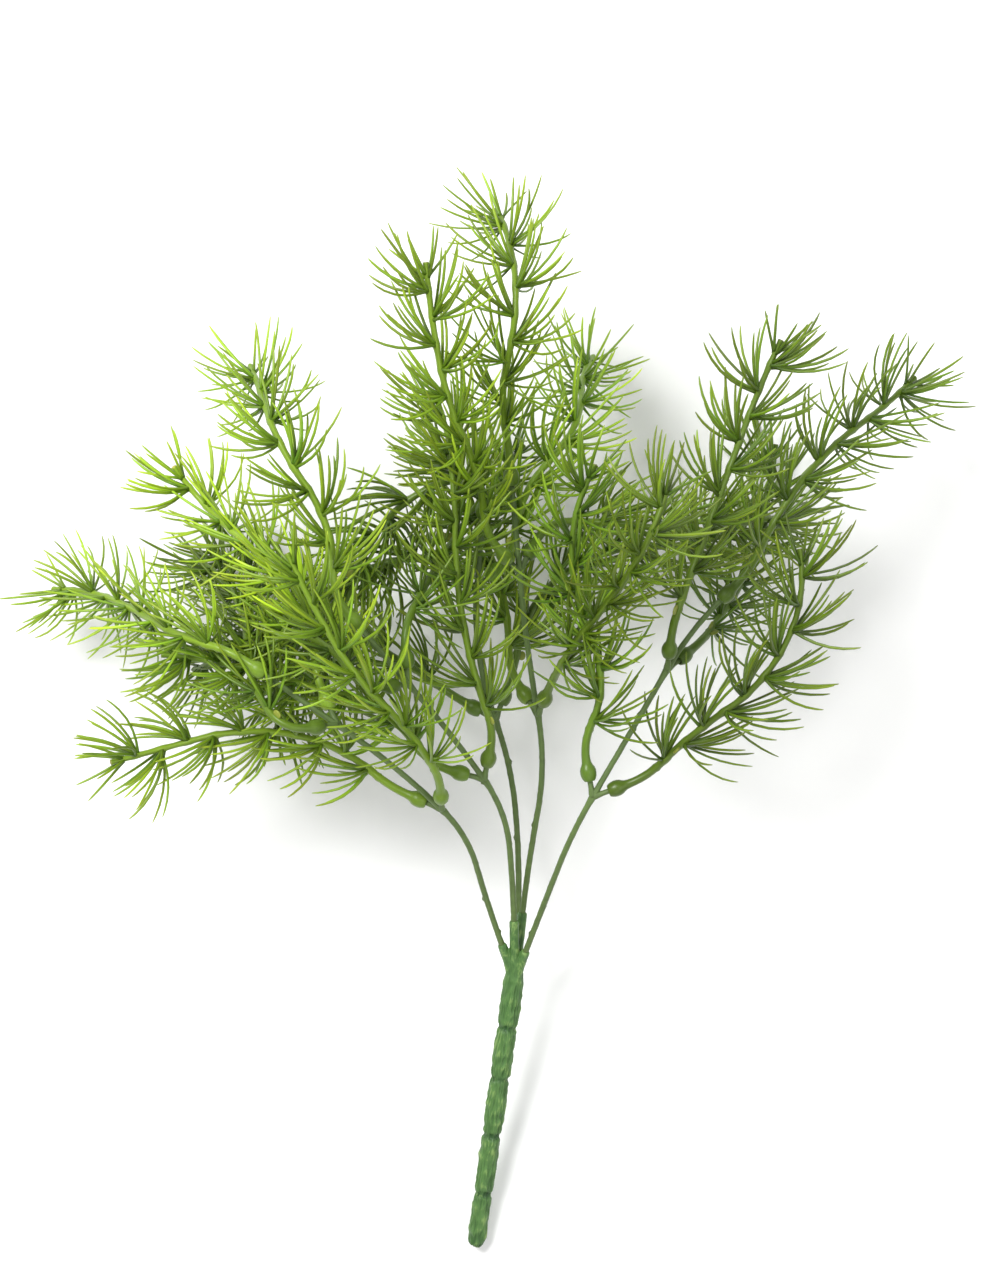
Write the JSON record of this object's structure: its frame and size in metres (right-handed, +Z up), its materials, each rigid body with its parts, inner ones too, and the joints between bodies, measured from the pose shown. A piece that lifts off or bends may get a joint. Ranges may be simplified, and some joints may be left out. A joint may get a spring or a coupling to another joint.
{
  "type": "artificial asparagus fern bunch",
  "caption": "Artificial asparagus fern bunch: forked plastic stems with push-on needle sprigs on a segmented handle, lying down for arrangements.",
  "frame": {"origin": "centre of the bunch's box on the table it lies on", "axes": "+Z up from the table, handle pointing along -Y, foliage spreading along +Y and to both sides along X"},
  "size_m": [0.3212, 0.3554, 0.1437],
  "materials": {
    "handle": "satin bluish green moulded plastic with bark-like wrinkles",
    "stem": "satin grey-green moulded plastic",
    "sprig": "satin leaf-green moulded polyethylene",
    "wire": "plain drawn steel wire"
  },
  "bodies": {
    "root": {"handle": "handle", "stem_1": "stem", "stem_2": "stem", "stem_3": "stem", "stem_4": "stem", "stem_5": "stem", "wire_1": "wire", "wire_2": "wire", "wire_3": "wire", "wire_4": "wire", "wire_5": "wire", "sprig_1a": "sprig", "sprig_1b": "sprig", "sprig_1c": "sprig", "sprig_1d": "sprig", "sprig_1e": "sprig", "sprig_2a": "sprig", "sprig_2b": "sprig", "sprig_2c": "sprig", "sprig_2d": "sprig", "sprig_2e": "sprig", "sprig_3a": "sprig", "sprig_3b": "sprig", "sprig_3c": "sprig", "sprig_3d": "sprig", "sprig_3e": "sprig", "sprig_4a": "sprig", "sprig_4b": "sprig", "sprig_4c": "sprig", "sprig_4d": "sprig", "sprig_4e": "sprig", "sprig_5a": "sprig", "sprig_5b": "sprig", "sprig_5c": "sprig", "sprig_5d": "sprig", "sprig_5e": "sprig"}
  },
  "joints": []
}
